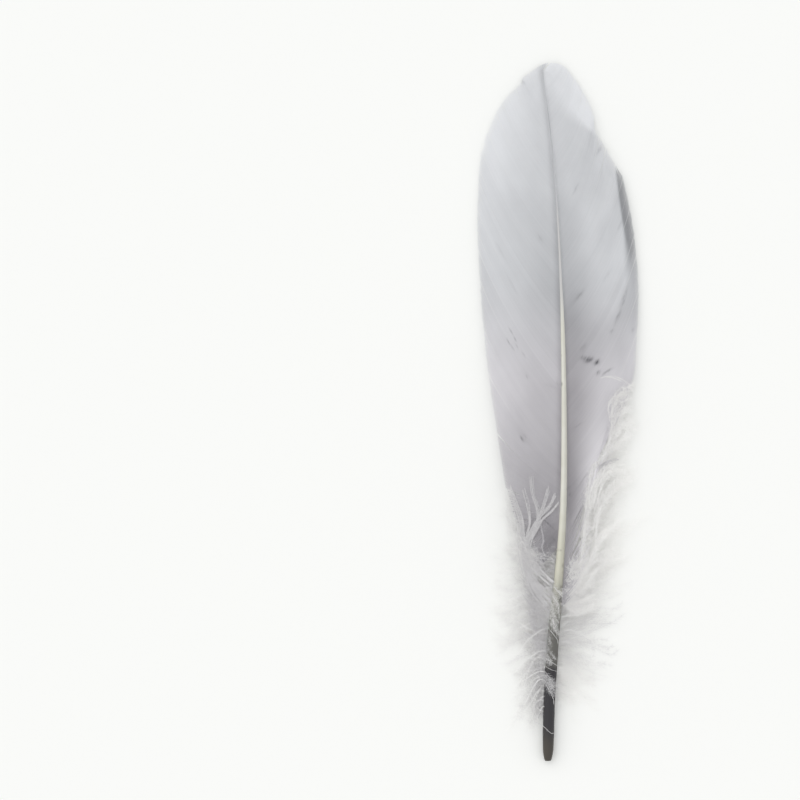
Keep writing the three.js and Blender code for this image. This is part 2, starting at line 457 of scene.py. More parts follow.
def buildShaft():
    plan = shaftPlan
    rings, sides = plan["rings"], plan["sides"]
    y = np.linspace(0, 1, rings) * plan["length"]
    turn = np.arange(sides) / sides * 2 * math.pi
    half = shaftWidth(y) / 2
    rounding, left = plan["endRounding"]
    half = half * mix(left, 1, np.sqrt(1 - (1 - np.clip(y / rounding, 0, 1)) ** 2))
    rounding, left = plan["tipRounding"]
    half = half * mix(left, 1, np.sqrt(np.clip((plan["length"] - y) / rounding, 0, 1)))
    uneven = plan["dents"] * np.sin(y * 0.9 + 1.3) * np.sin(y * 0.37) * fade(*plan["dentsEnd"], y)
    # the rachis is ribbed and a little flat on top, the quill is round
    flat = fade(*plan["flatStarts"], y)[:, None] * np.maximum(np.sin(turn), 0) ** 3
    ribs = fade(*plan["ribsStart"], y)[:, None] * np.sin(turn * plan["ribs"])
    shape = 1 - flat * plan["flatTop"] + ribs * plan["ribHeight"]
    radius = (half * (1 + uneven))[:, None] * shape
    points = np.stack(
        [
            shaftMiddle(y)[:, None] + radius * np.cos(turn),
            np.repeat(y[:, None], sides, 1),
            shaftHeight(y)[:, None] + radius * np.sin(turn),
        ],
        -1,
    )
    around = np.arange(sides)
    nextAround = (around + 1) % sides
    start = np.arange(rings - 1)[:, None] * sides
    near, far = start + around, start + nextAround
    walls = np.stack([near, near + sides, far + sides, far], -1).reshape(-1, 4)
    # the quill's end closes in a shallow dimple, the tip in a flat cap
    share, depth = plan["dimple"]
    dimple = mix(points[0].mean(0), points[0], [share, 1, share]) + [0, depth, 0]
    count = rings * sides
    inner = np.stack([count + around, around, nextAround, count + nextAround], -1)
    points = np.concatenate([points.reshape(-1, 3), dimple])
    pairs = np.arange(sides // 2 - 1)
    cap = np.stack([pairs, pairs + 1, sides - 2 - pairs, sides - 1 - pairs], -1)
    faces = np.concatenate([walls, inner, count + cap, count - sides + cap[:, ::-1]])
    x, y, z = points.T
    across = (x - shaftMiddle(y)) / (shaftWidth(y) / 2)
    top = z > shaftHeight(y) - 0.1
    # painted shade along the right side, then the dark nicks over it
    stainAndShade = plan["sideShade"] * fade(*plan["shadeAcross"], across) * fade(*plan["shadeEnds"], y)
    for nickY, nickAcross, length, strength in plan["nicks"]:
        off = ((y - nickY) / length) ** 2 + ((across - (nickAcross * 2 - 1)) / plan["nickWidth"]) ** 2
        stainAndShade = np.maximum(stainAndShade, strength * np.exp(-off * 1.5) * top)
    look = {"along": y, "stainAndShade": stainAndShade}
    piece = meshPiece("quill_shaft", points, faces, shaftMaterial("hornShaft"), look)
    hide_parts("shaft")


buildShaft()

# the edges of the vanes from the quill up, with a corner between two stretches
leftEdge = brokenLine(
    [
        [46.5, -1.8], [48, -2.8], [50, -4.4], [55, -6.6], [62, -9], [67, -10.6], [73, -11.6],
        [80, -12.7], [98, -15.2], [117, -16.8], [131, -17.4], [147, -16.5], [156, -13.7],
        [161.2, -10.5], [164.9, -6.8],
    ],
    [[166.4, -6.3], [168, -4], [169.2, -2.2], [169.75, -0.9], [169.95, 0.2]],
)
rightEdge = brokenLine(
    [
        [39.2, 3.9], [44, 7.8], [49, 8.2], [57, 8.8], [68, 9.9], [71.8, 10.8], [75.2, 13.7],
        [78, 14.9], [82, 15.3], [88.2, 16.4], [91.9, 20.2], [100, 21.2], [117, 21.75], [131.4, 20.2],
        [139.2, 18.55], [142.4, 17.8], [143.6, 17.1], [144.8, 16.2], [150.4, 13], [153, 11.4],
    ],
    [
        [154.6, 11.1], [157.5, 10.8], [161.2, 9.3], [165.5, 6.6], [168.3, 4.6],
        [169.4, 3.1], [169.8, 1.8], [169.95, 0.2],
    ],
)
leftVanePlan = {
    "side": -1,
    "edge": leftEdge,
    # where a barb leaves the shaft, and where it meets the edge
    "reach": [
        [52.5, 47.4], [55.5, 49], [58.5, 51.6], [60, 56.5], [62, 65], [65, 76.5], [68, 87.5],
        [72, 98.5], [80, 112], [90, 124.5], [100, 134.5], [110, 143], [120, 150], [130, 155.8],
        [140, 160.5], [150, 164.4], [158, 167], [164, 168.9], [168, 169.93],
    ],
    "bow": 0.085,  # how far a barb bends, as a share of its length
    "frayBelow": 71.0,
    # paleness beside the shaft, and how much paler the edge is; the darker tone by the shaft and low
    # down is partly painted shade
    "inner": [
        [46, 0.06], [55, 0.1], [61, 0.2], [73, 0.31], [82, 0.41], [93, 0.48], [104, 0.52],
        [112, 0.49], [124, 0.54], [150, 0.73], [170, 0.87],
    ],
    "riseOver": (2, 15),
    "rise": [[60, 0.02], [76, 0.06], [93, 0.16], [112, 0.14], [125, 0.19], [150, 0.24], [170, 0.15]],
    # painted shade beside the shaft, a dark line: its width and strength
    "shaftShade": [0.9, 0.3],
    # how much shorter the frayed barbs are, how uneven, how uneven their clumps, how far they wander
    "ragged": [-0.01, 0.02, 0.02, 0.12],
    "stainsAndShades": [
        # x, y, half length, half width, slant from the shaft in degrees, strength
        [-9.3, 104.6, 0.7, 0.17, 30, 0.5], [-8.3, 102.6, 0.6, 0.16, 25, 0.45],
        [-7.9, 101.0, 0.5, 0.16, 30, 0.4], [-9.9, 102.0, 0.8, 0.16, 28, 0.4],
        [-8.9, 100.6, 0.7, 0.16, 30, 0.45], [-6.2, 98.8, 0.6, 0.18, 32, 0.4],
        [-8.9, 115.6, 2.2, 0.3, 30, 0.14], [-2.1, 127.0, 1.2, 0.5, 30, 0.18],
        [-6.6, 78.4, 0.7, 0.3, 35, 0.55], [-6.0, 79.0, 0.5, 0.25, 35, 0.4],
        [-5.3, 93.5, 0.3, 0.3, 0, 0.4], [2.2, 91.6, 0.5, 0.25, 70, 0.4],
        [-0.3, 57.8, 2.0, 0.14, 46, 0.6], [1.2, 53.9, 0.9, 0.14, 46, 0.5],
        [0.4, 91.2, 1.4, 0.2, 75, 0.2], [-11.8, 124.0, 2.4, 0.3, 30, 0.12],
        [-6.3, 165.2, 0.6, 0.35, 40, 0.25],
    ],
    # painted shade: soft dark places beside the lower shaft, laid out in the same way
    "shades": [[-0.1, 53.4, 5.8, 2.4, -8, 0.34]],
}
rightVanePlan = {
    "side": 1,
    "edge": rightEdge,
    "reach": [
        [37, 42], [41, 50], [46, 59], [51, 67.5], [56, 76], [60, 84], [63.5, 91], [70, 99.5],
        [80, 111.5], [90, 122], [100, 131.5], [110, 139.5], [115.5, 143], [118, 145.6], [125, 150.6],
        [131, 154.2], [140, 159.4], [150, 164.1], [158, 167.4], [164, 169.4], [168, 169.94],
    ],
    "bow": 0.11,
    "frayBelow": 93.0,
    # paleness beside the shaft and far from it, and how many millimetres lie between; the darker tone
    # beside the shaft is partly painted shadow of the shaft
    "near": [
        [45, 0.1], [54, 0.1], [63, -0.02], [73, 0.02], [83, 0.14], [93, 0.13], [103, 0.18],
        [112, 0.3], [122, 0.4], [132, 0.5], [141, 0.58], [151, 0.64], [170, 0.68],
    ],
    "far": [
        [45, 1.0], [63, 0.95], [73, 0.84], [83, 0.66], [93, 0.67], [103, 0.54], [112, 0.64],
        [122, 0.75], [141, 0.69], [170, 0.68],
    ],
    "width": [
        [45, 8], [73, 8], [83, 8.5], [93, 10], [103, 12], [122, 9.5], [132, 8], [141, 3], [170, 3],
    ],
    # how much paler the last millimetres at the edge are
    "marginWidth": 4.5,
    "margin": [
        [45, 0.1], [75, 0.1], [82, -0.06], [90, -0.1], [94, 0], [101, 0.16], [108, 0.04],
        [130, -0.08], [142, -0.08], [148, 0],
    ],
    # painted shade beside the shaft, as on the left
    "shaftShade": [0.4, 0.16],
    "ragged": [-0.1, 0.12, 0.08, 1.0],
    # x of the inner side of the painted shade along the edge, a dark strip where the edge turns down
    "edgeShade": [
        [104, 15.4], [108.5, 17.3], [113, 18.7], [118, 19.0], [123, 18.9], [130, 18.1],
        [138, 17.0], [144, 16.2],
    ],
    # how soft its inner side is below and above, and between which heights that changes
    "edgeShadeSoftness": (1.1, 0.35),
    "edgeShadeHardens": (122, 130),
    # where it ends, and by how much it darkens between which heights
    "edgeShadeTop": (144.8, 143),
    "edgeShadeSteps": [[0.17, 103, 112], [0.55, 113, 128]],
    # the pale lobe at the tip, above a line that slants down to the right
    "lobe": {
        "x": -0.4, "y": 161.4, "slope": 0.76, "softness": (4.6, 1.0), "softnessOver": 10,
        "paler": 0.16, "palerOutwards": 0.02,
    },
    # dark specks and smudges, with painted shade in a gap at the lower margin and in a streak near the
    # edge
    "stainsAndShades": [
        [8.0, 98.1, 0.5, 0.35, 60, 0.8], [9.6, 97.5, 0.95, 0.6, 75, 1.0],
        [8.7, 97.9, 0.7, 0.3, 75, 0.8], [11.6, 97.0, 0.7, 0.5, 55, 0.95],
        [11.9, 94.4, 0.5, 0.35, 40, 0.7], [14.3, 94.9, 1.1, 0.18, 65, 0.7],
        [13.3, 94.2, 0.5, 0.2, 50, 0.5], [8.3, 100.6, 0.9, 0.4, 40, 0.35],
        [7.3, 113.2, 1.8, 0.45, 40, 0.3], [18.2, 112.4, 2.6, 0.45, 17, 0.4],
        [16.8, 108.2, 2.2, 0.35, 24, 0.4], [15.2, 104.5, 0.4, 0.35, 30, 0.4],
        [20.4, 104.9, 0.4, 0.3, 20, 0.35], [6.4, 139.0, 1.4, 0.25, 28, 0.2],
        [12.3, 148.8, 1.4, 0.4, 35, 0.28], [16.4, 78.6, 1.0, 0.5, 45, 0.4],
        [14.2, 78.2, 0.8, 0.35, 30, 0.4], [19.2, 87.0, 0.4, 0.4, 0, 0.4],
        [4.7, 66.4, 0.4, 0.25, 0, 0.6], [4.8, 64.8, 0.45, 0.25, 0, 0.5],
        [6.9, 81.6, 1.2, 0.15, 60, 0.35], [13.0, 71.9, 1.0, 0.35, 65, 0.55],
        [14.0, 118.0, 2.0, 0.5, 35, 0.1], [17.4, 130.5, 2.2, 0.35, 25, 0.16],
    ],
    "shades": [],
}
vaneHabit = {
    # heights between which the painted shade beside the shaft sets in, the warm tone ends and the
    # fraying grows
    "shaftShadeFades": (60, 70),
    "lilacFades": (122, 88),
    "frayOver": 16,
    # low waves of the face: how high, and how they turn for each millimetre up and to the right
    "waves": [[0.14, 0.33, 0.21], [0.1, 0.71, -0.4]],
}
barbPlan = {
    # millimetres from barb to barb at the shaft and at the edge, whichever is closer
    "spacing": 0.36,
    "edgeSpacing": 0.62,
    "segments": 46,
    "rootAside": 0.28,  # how far beside the shaft's middle, as a share of its width
    # lines along a barb: how far beside its middle, as a share of the spacing, and how high
    "columns": [[-0.56, -0.03], [-0.2, 0.05], [0.16, 0.04], [0.56, 0.015]],
    # barbs in a clump, at least and fewer than, where the vane is whole and where it is loose
    "clump": [6, 26],
    "looseClump": [2, 7],
    "looseFrom": 0.25,
    # how much single barbs and whole clumps differ in length, in tone and in place
    "lengths": [0.004, 0.003],
    "tones": [0.012, 0.014],
    "sway": [0.35, 1.0],
    "reachLimits": [-0.45, 0.08],
    # how much narrower a barb is at its tip, and along its outer part where it is loose
    "thinTip": 0.6,
    "thinLoose": 0.3,
    # how far a clump draws together towards the edge: at least, up to how much more, where it is loose
    "leastPinch": 0.01,
    "pinch": 0.05,
    "frayedPinch": 0.35,
    "frayedTone": 0.12,
    # millimetres above the face: all barbs, how much clumps and loose barbs differ, the lobe's barbs
    "lift": 0.2,
    "clumpLift": 0.02,
    "frayedLift": [-0.2, 0.3],
    "lobeLift": 0.3,
    "lowest": 0.04,
}


def barbPoint(plan, rootY, s):
    # a place on the barb that leaves the shaft at rootY, s from 0 at the shaft to 1 at the edge
    side = plan["side"]
    rootX = shaftMiddle(rootY) + side * shaftWidth(rootY) * barbPlan["rootAside"]
    endY = smoothLine(plan["reach"])(rootY)
    endX = plan["edge"](endY)
    spanX, spanY = endX - rootX, endY - rootY
    bowX = rootX + spanX * 0.5 + side * spanY * plan["bow"]
    bowY = rootY + spanY * 0.5 - side * spanX * plan["bow"]
    x = (1 - s) ** 2 * rootX + 2 * s * (1 - s) * bowX + s * s * endX
    y = (1 - s) ** 2 * rootY + 2 * s * (1 - s) * bowY + s * s * endY
    return x, y


def clumpsOf(frayed):
    # barbs hold together in clumps of uneven size, smaller where the vane is frayed
    clump = np.zeros(len(frayed), int)
    start, number = 0, 0
    while start < len(frayed):
        kind = "looseClump" if frayed[start] > barbPlan["looseFrom"] else "clump"
        size = int(dice.integers(*barbPlan[kind]))
        clump[start : start + size] = number
        start, number = start + size, number + 1
    return clump


def stainAndShadeAt(x, y, stainsAndShades, side):
    # dark smudges of dye and of painted shade, each with its own slant
    total = np.zeros_like(x)
    for stainX, stainY, halfLength, halfWidth, slant, strength in stainsAndShades:
        turn = math.radians(slant) * side
        dx, dy = x - stainX, y - stainY
        along = dx * math.sin(turn) + dy * math.cos(turn)
        across = dx * math.cos(turn) - dy * math.sin(turn)
        off = (along / halfLength) ** 2 + (across / halfWidth) ** 2
        total = np.maximum(total, strength * np.exp(-off))
    return total


def lobeAbove(x, y):
    # how far a place is above the slanting line under the pale lobe at the tip
    lobe = rightVanePlan["lobe"]
    return y - (lobe["y"] - (x - lobe["x"]) * lobe["slope"])


def vaneTone(plan, x, y):
    # paleness before the streaks, partly painted shade beside the shaft and along the right edge
    away = np.abs(x - shaftMiddle(y)) - shaftWidth(y) / 2
    # painted shade: a dark line beside the shaft
    shaftShadeWidth, darker = plan["shaftShade"]
    shaftShade = darker * np.exp(-((np.maximum(away, 0) / shaftShadeWidth) ** 2))
    shaftShade = shaftShade * fade(*vaneHabit["shaftShadeFades"], y)
    if plan["side"] < 0:
        rise = smoothLine(plan["rise"])(y) * fade(*plan["riseOver"], away)
        return smoothLine(plan["inner"])(y) + rise - shaftShade
    near, far, width = (smoothLine(plan[key])(y) for key in ("near", "far", "width"))
    tone = mix(near, far, fade(0, 1, away / width)) - shaftShade
    # painted shade in a dark strip along the right edge
    softness = mix(*plan["edgeShadeSoftness"], fade(*plan["edgeShadeHardens"], y))
    edgeShade = fade(-1, 1, (x - smoothLine(plan["edgeShade"])(y)) / softness) * fade(*plan["edgeShadeTop"], y)
    for darker, low, high in plan["edgeShadeSteps"]:
        tone = tone - darker * edgeShade * fade(low, high, y)
    tone = tone + smoothLine(plan["margin"])(y) * fade(plan["marginWidth"], 0, rightEdge(y) - x)
    lobe = plan["lobe"]
    softness = mix(*lobe["softness"], np.clip(x / lobe["softnessOver"], 0, 1))
    paler = lobe["paler"] + lobe["palerOutwards"] * np.maximum(x, 0)
    return tone + paler * fade(-1, 1.2, lobeAbove(x, y) / softness)


def barbSpots(plan):
    # where each barb leaves the shaft, closer together where they fan out towards the edge
    spots = np.linspace(plan["reach"][0][0], plan["reach"][-1][0], 3000)
    fanning = np.gradient(smoothLine(plan["reach"])(spots), spots)
    density = np.maximum(1 / barbPlan["spacing"], fanning / barbPlan["edgeSpacing"])
    passed = np.cumsum(density) * (spots[1] - spots[0])
    count = int(passed[-1])
    centre = np.interp((np.arange(count) + 0.5) * passed[-1] / count, passed, spots)
    return centre, 1 / np.interp(centre, spots, density)


def buildVane(name, node, plan):
    side = plan["side"]
    first, last = plan["reach"][0][0], plan["reach"][-1][0]
    centre, gap = barbSpots(plan)
    count = len(centre)
    edgeAt = smoothLine(plan["reach"])(centre)
    frayed = fade(plan["frayBelow"], plan["frayBelow"] - vaneHabit["frayOver"], edgeAt)
    clump = clumpsOf(frayed)
    clumps = clump.max() + 1
    clumpMiddle = np.array([centre[clump == n].mean() for n in range(clumps)])

    def uneven(perBarb, perClump, middle=0.0):
        single = dice.normal(middle, perBarb, count)
        return single + dice.normal(0, perClump, clumps)[clump]

    def deep(values):
        # one value for each barb, ready for its points
        return values[:, None, None]

    s = np.linspace(0, 1, barbPlan["segments"] + 1)
    offset, ridge = (np.array(column) for column in zip(*barbPlan["columns"]))
    longer = uneven(*barbPlan["lengths"])
    shorter, byBarb, byClump, wander = plan["ragged"]
    longer = longer + frayed * uneven(byBarb, byClump, shorter)
    along = s[None, :, None] * deep(1 + np.clip(longer, *barbPlan["reachLimits"]))
    thinning = barbPlan["thinLoose"] * wander * frayed[:, None] * fade(0.25, 0.9, s)[None, :]
    narrow = (1 - barbPlan["thinTip"] * s**18)[None, :] * (1 - thinning)
    pinch = barbPlan["leastPinch"] + dice.uniform(0, barbPlan["pinch"], clumps)[clump]
    pinch = pinch + frayed * wander * barbPlan["frayedPinch"]
    rootY = deep(centre) + offset[None, None, :] * narrow[:, :, None] * deep(gap)
    rootY = mix(rootY, deep(clumpMiddle[clump]), np.clip(deep(pinch) * along**3, 0, 0.9))
    x, y = barbPoint(plan, np.clip(rootY, first, last), along)
    # the loosest barbs wander a little
    x = x + deep(wander * frayed * uneven(*barbPlan["sway"])) * along**2
    edge = plan["edge"](np.clip(y, first, 170))
    inside = np.abs(x - shaftMiddle(y)) / np.maximum(np.abs(edge - shaftMiddle(y)), 0.5)
    lift = barbPlan["lift"] + deep(dice.normal(0, barbPlan["clumpLift"], clumps)[clump]) * along**2
    lift = lift + deep(wander * frayed * dice.uniform(*barbPlan["frayedLift"], count)) * along
    # low waves across the vane, which end at the shaft and at the edge
    wave = sum(height * np.sin(y * up + x * right) for height, up, right in vaneHabit["waves"])
    z = faceHeight(x, y) + lift + wave * fade(0, 0.5, along) * fade(1.1, 0.6, inside)
    z = z + ridge * fade(0, 0.08, along)
    if side > 0:
        z = z + barbPlan["lobeLift"] * fade(-1.5, 3, lobeAbove(x, y)) * fade(0.1, 0.8, along)
    points = np.stack([x, y, np.maximum(z, barbPlan["lowest"])], -1)
    tone = vaneTone(plan, x, y) + deep(frayed) * barbPlan["frayedTone"] * along
    look = {
        "tone": tone + deep(uneven(*barbPlan["tones"])),
        "stainAndShade": stainAndShadeAt(x, y, plan["stainsAndShades"], side),
        "shade": stainAndShadeAt(x, y, plan["shades"], side),
        "lilac": fade(*vaneHabit["lilacFades"], y),
    }
    barbMap = np.stack([along + 0 * x, (rootY - first) / (last - first)], -1).reshape(-1, 2)
    faces = stripFaces(count, len(s), len(offset))
    if side > 0:
        faces = faces[:, ::-1]
    piece = meshPiece(name, points, faces, vaneMaterial(name + "Barbs"), look, barbMap)
    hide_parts(node)


buildVane("vane_left", "left_vane", leftVanePlan)
buildVane("vane_right", "right_vane", rightVanePlan)

barbulePlans = {
    # millimetres between barbules, their length, width at the root and tip
    "cloud": {"spacing": 0.22, "length": 2.1, "width": 0.036, "tipWidth": 0.01, "stem": 0.07},
    "strand": {"spacing": 0.12, "length": 0.36, "width": 0.04, "tipWidth": 0.015, "stem": 0.16},
    "band": {"spacing": 0.12, "length": 0.5, "width": 0.036, "tipWidth": 0.012, "stem": 0.2},
    "thread": {"spacing": 0.12, "length": 0.24, "width": 0.035, "tipWidth": 0.012, "stem": 0.11},
    "wisp": {"spacing": 0.16, "length": 1.3, "width": 0.034, "tipWidth": 0.012, "stem": 0.06},
    "tip": {"spacing": 0.2, "length": 1.5, "width": 0.036, "tipWidth": 0.01, "stem": 0.1},
    "curl": {"spacing": 0.13, "length": 1.3, "width": 0.04, "tipWidth": 0.012, "stem": 0.08},
}
# how the barbules stand on a stem
barbuleHabit = {
    "bareRoot": 0.03,
    "angle": (0.5, 1.25),
    "rise": 0.34,
    "reach": (0.4, 1.15),
    "shorterAtTip": 0.6,
    "forward": (-0.2, 0.6),
    "waver": 0.2,
    "twist": 0.35,
    "tipPaler": 0.08,
    "stemTaper": 0.8,
    # millimetres above the shaft where it is draped, and above the surface
    "overShaft": 0.04,
    "lowest": 0.03,
}
barbHabit = {
    "steps": 26,
    # heading at the root: out from the shaft, along it, up, and how much the second varies
    "heading": (0.85, 0.5, -0.05),
    "lean": 0.4,
    # how long it keeps its heading at the root and at the tip
    "rootPull": (0.25, 0.45),
    "tipPull": 0.3,
    "tipAside": 0.2,
    "tipForward": (0.1, 0.7),
    # waves on its way, from and up to how many radians, and their size
    "waves": [[2, 6, 0.06], [8, 16, 0.016]],
    "sag": (-0.6, 0.5),
}


def threadThrough(stops):
    # points of a smooth path through [x, y, z] stops
    number = np.arange(len(stops))
    t = np.linspace(0, len(stops) - 1, barbHabit["steps"])
    return np.stack([smoothLine(list(zip(number, column)))(t) for column in zip(*stops)], -1)


def ribbons(points, sideways, width):
    # a flat ribbon along each row of points
    half = sideways * width[..., None] / 2
    return np.stack([points - half, points + half], -2)


def overShaft(path, clear):
    # lifts the part of a path that meets the shaft onto its top
    reach = shaftWidth(path[:, 1]) / 2 + clear
    aside = np.minimum(np.abs(path[:, 0] - shaftMiddle(path[:, 1])) / reach, 1)
    top = shaftHeight(path[:, 1]) + reach * np.sqrt(1 - aside**2)
    z = np.where(aside < 1, np.maximum(path[:, 2], top), path[:, 2])
    return np.column_stack([path[:, :2], z])


def barbPath(root, tip, side):
    # the path of one fluffy barb, which leaves the shaft and bends towards its tip
    habit = barbHabit
    chord = tip - root
    length = np.linalg.norm(chord)
    aside, forward, up = habit["heading"]
    out = unit(np.array([side * aside, forward + dice.normal(0, habit["lean"]), up]))
    first = root + out * length * dice.uniform(*habit["rootPull"])
    bend = np.array([dice.normal(0, habit["tipAside"]), dice.uniform(*habit["tipForward"]), 0])
    second = tip - unit(chord + bend * length) * length * habit["tipPull"]
    t = np.linspace(0, 1, habit["steps"])[:, None]
    path = (1 - t) ** 3 * root + 3 * t * (1 - t) ** 2 * first
    path = path + 3 * t * t * (1 - t) * second + t**3 * tip
    across = unit(np.cross(chord, [0, 0, 1]))
    waves = [(dice.uniform(low, high), size) for low, high, size in habit["waves"]]
    for turns, size in waves:
        wave = np.sin(t * turns + dice.uniform(0, 6.3)) * t
        path = path + across * wave * length * size * dice.uniform(0, 2)
    path[:, 2] += dice.uniform(*habit["sag"]) * np.sin(t[:, 0] * math.pi)
    return path


class Fluff:
    # gathers downy barbs: each is a stem with barbules on both sides

    def __init__(self):
        self.stems, self.stemTones, self.barbules, self.barbuleTones = [], [], [], []

    def add(self, path, plan, tones, size):
        habit = barbuleHabit
        length = np.linalg.norm(np.diff(path, axis=0), axis=1).sum()
        count = max(8, int(2 * length / plan["spacing"]))
        share = np.sort(dice.uniform(habit["bareRoot"], 1.0, count))
        spot = share * (len(path) - 1)
        i = np.minimum(spot.astype(int), len(path) - 2)
        base = mix(path[i], path[i + 1], (spot - i)[:, None])
        ahead = unit(path[i + 1] - path[i])
        beside = unit(np.cross([0, 0, 1], ahead)) * np.where(np.arange(count) % 2, 1, -1)[:, None]
        angle = dice.uniform(*habit["angle"], count)[:, None]
        rise = dice.normal(0, habit["rise"], count)[:, None] * [0, 0, 1]
        heading = unit(ahead * np.cos(angle) + beside * np.sin(angle) + rise)
        reach = plan["length"] * size * dice.uniform(*habit["reach"], count)
        reach = reach * (1 - habit["shorterAtTip"] * share**2) * fade(0, 0.25, share + 0.06)
        u = np.linspace(0, 1, 3)
        forward = dice.uniform(*habit["forward"], count)[:, None]
        bend = ahead * forward + dice.normal(0, habit["waver"], (count, 3))
        steps = u[None, :, None] * heading[:, None, :] + (u**2)[None, :, None] * bend[:, None, :]
        points = base[:, None, :] + steps * reach[:, None, None]
        twist = dice.normal(0, habit["twist"], (count, 3))
        sideways = unit(np.cross([0, 0, 1], heading) + twist)
        width = mix(plan["width"], plan["tipWidth"], u)[None, :] * np.ones((count, 1))
        self.barbules.append(ribbons(points, sideways[:, None, :], width))
        tone = mix(*tones, share)[:, None, None] + habit["tipPaler"] * u[None, :, None]
        self.barbuleTones.append(np.broadcast_to(tone, (count, 3, 2)))
        along = np.linspace(0, 1, len(path))
        stemSide = unit(np.cross([0, 0, 1], unit(np.gradient(path, axis=0))))
        self.stems.append(ribbons(path, stemSide, plan["stem"] * (1 - habit["stemTaper"] * along)))
        self.stemTones.append(np.repeat(mix(*tones, along)[:, None], 2, 1))

    def build(self, name, material, draped=False):
        barbules, stems = np.concatenate(self.barbules), np.stack(self.stems)
        points = np.concatenate([barbules.reshape(-1, 3), stems.reshape(-1, 3)])
        if draped:
            points = overShaft(points, barbuleHabit["overShaft"])
        points[:, 2] = np.maximum(points[:, 2], barbuleHabit["lowest"])
        barbuleFaces = stripFaces(len(barbules), barbules.shape[1], 2)
        stemFaces = stripFaces(len(stems), stems.shape[1], 2) + barbules.size // 3
        faces = np.concatenate([barbuleFaces, stemFaces])
        barbuleTones = np.concatenate(self.barbuleTones).ravel()
        tone = np.concatenate([barbuleTones, np.stack(self.stemTones).ravel()])
        return meshPiece(name, points, faces, material, {"tone": tone})


rightDownPlan = {
    "side": 1,
    "barbs": 185,
    "roots": [15.0, 64.0],
    # where the longest barb that leaves the shaft at that y ends
    "tipX": [[15, 6], [22, 14], [27, 17.5], [33, 18.8], [40, 19.8], [47, 21.2], [54, 21.2], [64, 19.8]],
    "tipY": [[15, 11], [22, 18.5], [27, 27], [33, 38], [40, 50], [47, 62], [54, 74], [64, 89]],
    "lengths": [0.35, 1.05],
    # paleness of a barb at its root and at its tip, by where it leaves the shaft
    "rootTones": [[15, 1.1], [22, 0.9], [27, 0.45], [33, 0.4], [38, 0.5], [46, 0.85], [64, 0.9]],
    "tipTones": [[15, 1.0], [22, 0.7], [27, 0.15], [33, 0.35], [38, 0.8], [46, 1.0], [64, 1.0]],
    "strandLift": 0.0,
    "underVane": 38.0,
}
leftDownPlan = {
    "side": -1,
    "barbs": 200,
    "roots": [12.0, 60.0],
    "tipX": [
        [12, -3.6], [18, -8.5], [24, -11], [31, -13], [38, -14], [45, -14], [52, -13.2], [60, -12.4],
    ],
    "tipY": [[12, 7], [18, 11], [24, 19], [31, 28], [38, 37], [45, 46], [52, 55], [60, 66]],
    "lengths": [0.25, 1.05],
    "rootTones": [[12, 0.1], [60, 0.1]],
    "tipTones": [[12, 0.8], [60, 0.8]],
    "underVane": 53.0,
    "strandLift": 0.6,
}
downHabit = {
    # how far the root is beside the shaft's middle line and below it, as shares of its width
    "rootAside": 0.42,
    "rootDepth": (-0.1, 0.45),
    "depthUnderVane": (0.35, 0.45),
    # this many barbs in turn lean the same way, by about how many millimetres
    "tuftBarbs": 4,
    "tuftLean": 1.7,
    # one barb in so many is a loose strand, which strays further
    "strandEvery": 5,
    "strandStray": 4.5,
    "stray": 1.8,
    "tipAside": 0.5,
    "tipHeight": (0.2, 1.4),
    "belowLowest": 6,
    "toneSpread": 0.06,
    "strandTones": (0.6, 1.0),
    "strandSizes": (0.7, 1.6),
    "cloudSizes": (0.6, 1.15),
    # over which millimetres below the vane's end the strands' lift sets in
    "raisedBelow": (6, 12),
}


def buildDown(name, node, plan, material):
    habit = downHabit
    side = plan["side"]
    lowest, highest = plan["roots"]
    tipX, tipY = smoothLine(plan["tipX"]), smoothLine(plan["tipY"])
    rootTone, tipTone = smoothLine(plan["rootTones"]), smoothLine(plan["tipTones"])
    fluff = Fluff()
    tuft = 0
    for n in range(plan["barbs"]):
        strand = n % habit["strandEvery"] == 0
        if n % habit["tuftBarbs"] == 0:
            tuft = dice.normal(0, habit["tuftLean"])
        rootY = mix(lowest, highest, (n + dice.uniform(0, 1)) / plan["barbs"])
        rootX = shaftMiddle(rootY) + side * shaftWidth(rootY) * habit["rootAside"]
        depth = habit["depthUnderVane" if rootY > plan["underVane"] else "rootDepth"]
        rootZ = shaftHeight(rootY) - shaftWidth(rootY) * dice.uniform(*depth)
        share = dice.uniform(*plan["lengths"])
        x = mix(rootX, tipX(rootY), share) + dice.normal(0, habit["tipAside"])
        stray = dice.normal(0, habit["strandStray" if strand else "stray"])
        y = mix(rootY, tipY(rootY), share) + (stray + tuft) * share
        y = max(y, lowest - habit["belowLowest"])
        tip = np.array([x, y, dice.uniform(*habit["tipHeight"])])
        path = barbPath(np.array([rootX, rootY, rootZ]), tip, side)
        firstTone = rootTone(rootY) + dice.normal(0, habit["toneSpread"])
        lastTone = mix(rootTone(rootY), tipTone(rootY), share)
        if strand:
            raised = plan["strandLift"] * fade(*habit["raisedBelow"], plan["underVane"] - rootY)
            size = dice.uniform(*habit["strandSizes"])
            fluff.add(path + [0, 0, raised], barbulePlans["strand"], habit["strandTones"], size)
        else:
            size = dice.uniform(*habit["cloudSizes"])
            fluff.add(path, barbulePlans["cloud"], (firstTone, lastTone), size)
    piece = fluff.build(name, material)
    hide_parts(node)


whiteDown = downMaterial("whiteDown")
buildDown("down_left", "left_down", leftDownPlan, whiteDown)
buildDown("down_right", "right_down", rightDownPlan, whiteDown)

strandHabit = {
    # the share of a strand that a copy may leave out at its root, and the share of the spread by
    # which single stops stray
    "lateStart": 0.25,
    "stray": 0.5,
    "aboveShaft": (0.08, 0.3),
    "sizes": (0.7, 1.2),
}


